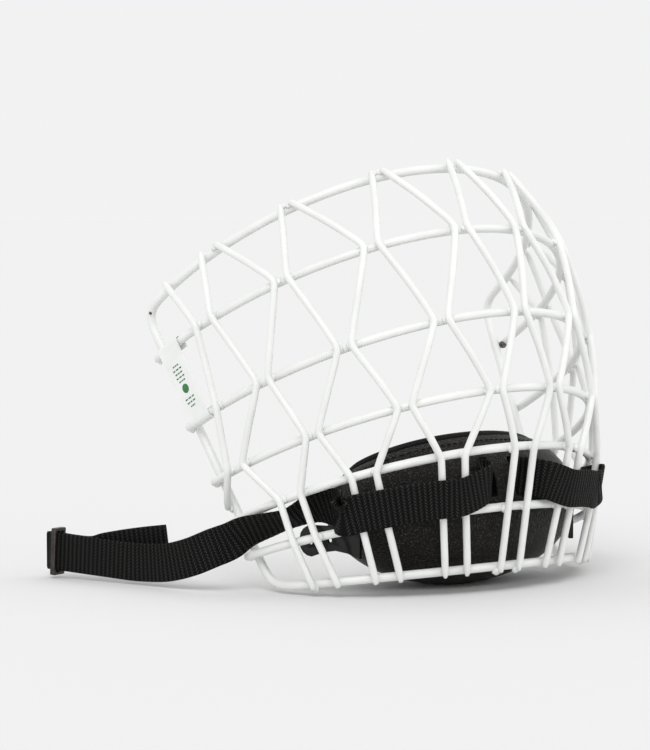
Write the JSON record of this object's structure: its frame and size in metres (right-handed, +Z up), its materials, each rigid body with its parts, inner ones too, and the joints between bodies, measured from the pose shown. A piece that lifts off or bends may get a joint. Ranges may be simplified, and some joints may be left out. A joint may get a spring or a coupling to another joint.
{
  "type": "goalie mask",
  "caption": "Wire face mask for ice sports: a curved white cage of welded rods with a black chin cup hung on webbing straps.",
  "frame": {"origin": "middle of the flat patch under the chin cup, where the mask rests on a table", "axes": "+X to the wearer's left, -Y the way the wearer faces, +Z up as the mask rests"},
  "size_m": [0.2707, 0.1983, 0.2135],
  "materials": {
    "white_powder_coat": "smooth white powder coat over bent and welded steel rod",
    "label_white": "thin white film, satin",
    "pebbled_vinyl": "black pebbled vinyl with a low sheen",
    "black_foam": "soft black foam lining",
    "binding": "black stitched binding",
    "black_plastic": "glossy black moulded plastic",
    "black_webbing": "ribbed black nylon webbing",
    "keeper_metal": "gunmetal plated buckle"
  },
  "bodies": {
    "cage": {"rim_wire": "white_powder_coat", "brow_cross_wire": "white_powder_coat", "eye_cross_wire": "white_powder_coat", "nose_cross_wire": "white_powder_coat", "mouth_cross_wire": "white_powder_coat", "chin_cross_wire": "white_powder_coat", "lattice_wire_right_1": "white_powder_coat", "lattice_wire_right_2": "white_powder_coat", "lattice_wire_right_3": "white_powder_coat", "lattice_wire_right_4": "white_powder_coat", "lattice_wire_right_5": "white_powder_coat", "lattice_wire_right_6": "white_powder_coat", "lattice_wire_right_7": "white_powder_coat", "lattice_wire_right_8": "white_powder_coat", "lattice_wire_left_1": "white_powder_coat", "lattice_wire_left_2": "white_powder_coat", "lattice_wire_left_3": "white_powder_coat", "lattice_wire_left_4": "white_powder_coat", "lattice_wire_left_5": "white_powder_coat", "lattice_wire_left_6": "white_powder_coat", "lattice_wire_left_7": "white_powder_coat", "lattice_wire_left_8": "white_powder_coat", "approval_label": "label_white", "chin_cup_shell": "pebbled_vinyl", "chin_pad": "black_foam", "chin_cup_edge_binding": "binding", "chin_cup_wing_right": "black_plastic", "chin_cup_wing_left": "black_plastic", "chin_strap": "black_webbing"},
    "strap_right": {"strap_end_right": "black_webbing"},
    "strap_left": {"strap_end_left": "black_webbing"},
    "keeper_right": {"strap_keeper_right": "keeper_metal"},
    "keeper_left": {"strap_keeper_left": "keeper_metal"}
  },
  "joints": [
    {"name": "strap_right_swing", "type": "hinge", "parent": "cage", "child": "strap_right", "pos_m": [-0.1183, 0.0428, 0.0216], "axis": [0, 0, 1], "range_deg": [-25, 20]},
    {"name": "strap_left_swing", "type": "hinge", "parent": "cage", "child": "strap_left", "pos_m": [0.1074, 0.0464, 0.025], "axis": [0, 0, 1], "range_deg": [-20, 25]},
    {"name": "keeper_right_slide", "type": "slide", "parent": "strap_right", "child": "keeper_right", "axis": [0.3591, -0.9321, -0.0474], "range_m": [0, 0.012]},
    {"name": "keeper_left_slide", "type": "slide", "parent": "strap_left", "child": "keeper_left", "axis": [0.0278, -0.9963, -0.0811], "range_m": [0, 0.012]}
  ]
}
